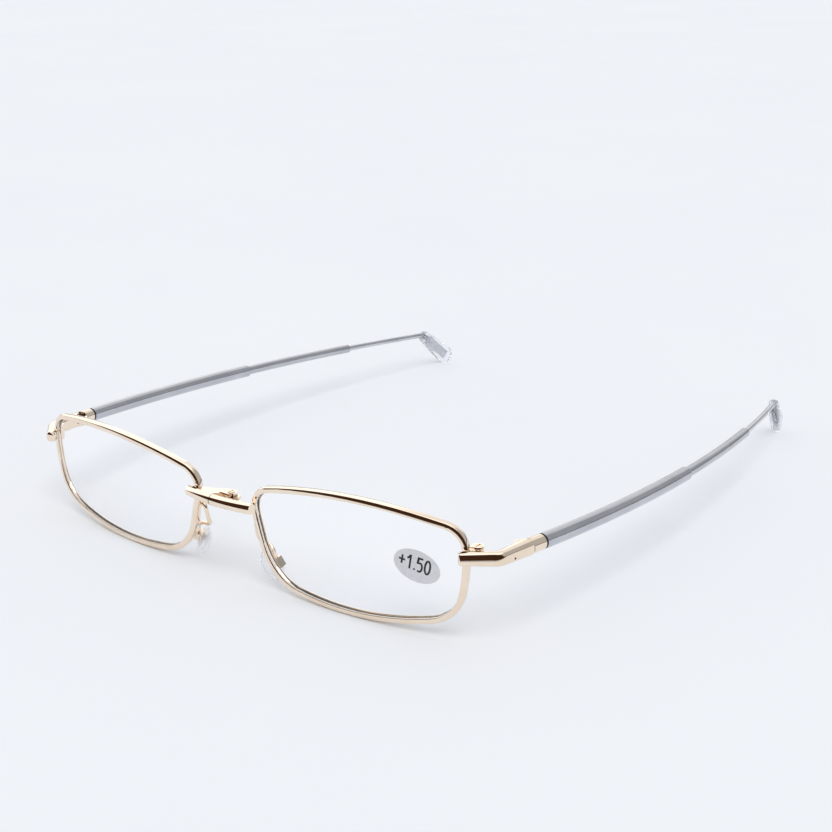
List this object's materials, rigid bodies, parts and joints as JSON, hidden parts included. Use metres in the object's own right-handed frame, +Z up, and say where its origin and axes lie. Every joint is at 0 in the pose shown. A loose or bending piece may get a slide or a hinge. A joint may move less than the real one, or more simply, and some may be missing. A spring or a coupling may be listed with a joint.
{
  "type": "folding telescopic reading glasses",
  "caption": "Folding metal reading glasses with rounded rectangular lenses, a bridge hinge, adjustable nose pads and temples that telescope and fold.",
  "frame": {"origin": "on the table under the middle of the bounding box, with the glasses standing open on the lower rims and the temple tips", "axes": "+X to the wearer's left, +Y back along the temples, +Z up"},
  "size_m": [0.14, 0.1638, 0.0269],
  "materials": {
    "gold": "polished pale gold plating",
    "screw": "polished pale gold plating",
    "steel": "satin drawn tube",
    "lens": "clear",
    "pad": "clear soft plastic",
    "tip": "clear soft plastic",
    "ring": "dark",
    "bush": "dark",
    "label": "printed film"
  },
  "bodies": {
    "front_left": {"left_rim": "gold", "left_lens": "lens", "power_label": "label", "left_end_piece": "gold", "left_clamp_upper": "gold", "left_clamp_lower": "gold", "left_clamp_screw": "screw", "left_hinge_screw": "screw", "left_bridge_bar": "gold", "left_pad_arm": "gold", "left_pad_screw": "screw"},
    "front_right": {"right_rim": "gold", "right_lens": "lens", "right_end_piece": "gold", "right_clamp_upper": "gold", "right_clamp_lower": "gold", "right_clamp_screw": "screw", "right_hinge_screw": "screw", "right_bridge_bar": "gold", "bridge_screw": "screw", "right_pad_arm": "gold", "right_pad_screw": "screw"},
    "left_pad": {"left_nose_pad": "pad"},
    "right_pad": {"right_nose_pad": "pad"},
    "left_temple": {"left_ferrule": "gold", "left_tube_ring": "ring", "left_outer_tube": "steel"},
    "right_temple": {"right_ferrule": "gold", "right_tube_ring": "ring", "right_outer_tube": "steel"},
    "left_extension": {"left_middle_tube": "steel", "left_middle_bush": "bush"},
    "right_extension": {"right_middle_tube": "steel", "right_middle_bush": "bush"},
    "left_end": {"left_rod": "steel", "left_rod_bush": "bush", "left_tip": "tip"},
    "right_end": {"right_rod": "steel", "right_rod_bush": "bush", "right_tip": "tip"}
  },
  "joints": [
    {"name": "bridge_fold", "type": "hinge", "parent": "front_left", "child": "front_right", "pos_m": [0.0006, -0.07692, 0.0185], "axis": [0, 0, -1], "range_deg": [0, 38]},
    {"name": "left_temple_fold", "type": "hinge", "parent": "front_left", "child": "left_temple", "pos_m": [0.06441, -0.06192, 0.0183], "axis": [0, 0, 1], "range_deg": [0, 90]},
    {"name": "right_temple_fold", "type": "hinge", "parent": "front_right", "child": "right_temple", "pos_m": [-0.06441, -0.06192, 0.0183], "axis": [0, 0, 1], "range_deg": [-86, 0]},
    {"name": "left_tube_slide", "type": "hinge", "parent": "left_temple", "child": "left_extension", "pos_m": [-0.31762, -0.01621, 0.01568], "axis": [0, -0.0576, -0.9983], "range_deg": [0, 5.8]},
    {"name": "right_tube_slide", "type": "hinge", "parent": "right_temple", "child": "right_extension", "pos_m": [0.31762, -0.01621, 0.01568], "axis": [0, 0.0576, 0.9983], "range_deg": [0, 5.8]},
    {"name": "left_rod_slide", "type": "hinge", "parent": "left_extension", "child": "left_end", "pos_m": [-0.31762, -0.01621, 0.01568], "axis": [0, -0.0576, -0.9983], "range_deg": [0, 4.22]},
    {"name": "right_rod_slide", "type": "hinge", "parent": "right_extension", "child": "right_end", "pos_m": [0.31762, -0.01621, 0.01568], "axis": [0, 0.0576, 0.9983], "range_deg": [0, 4.22]},
    {"name": "left_pad_rock", "type": "hinge", "parent": "front_left", "child": "left_pad", "pos_m": [0.01163, -0.0747, 0.00553], "axis": [0.1219, 0.9256, 0.3584], "range_deg": [-8, 8]},
    {"name": "right_pad_rock", "type": "hinge", "parent": "front_right", "child": "right_pad", "pos_m": [-0.01163, -0.0747, 0.00553], "axis": [0.1219, -0.9256, -0.3584], "range_deg": [-8, 8]}
  ]
}
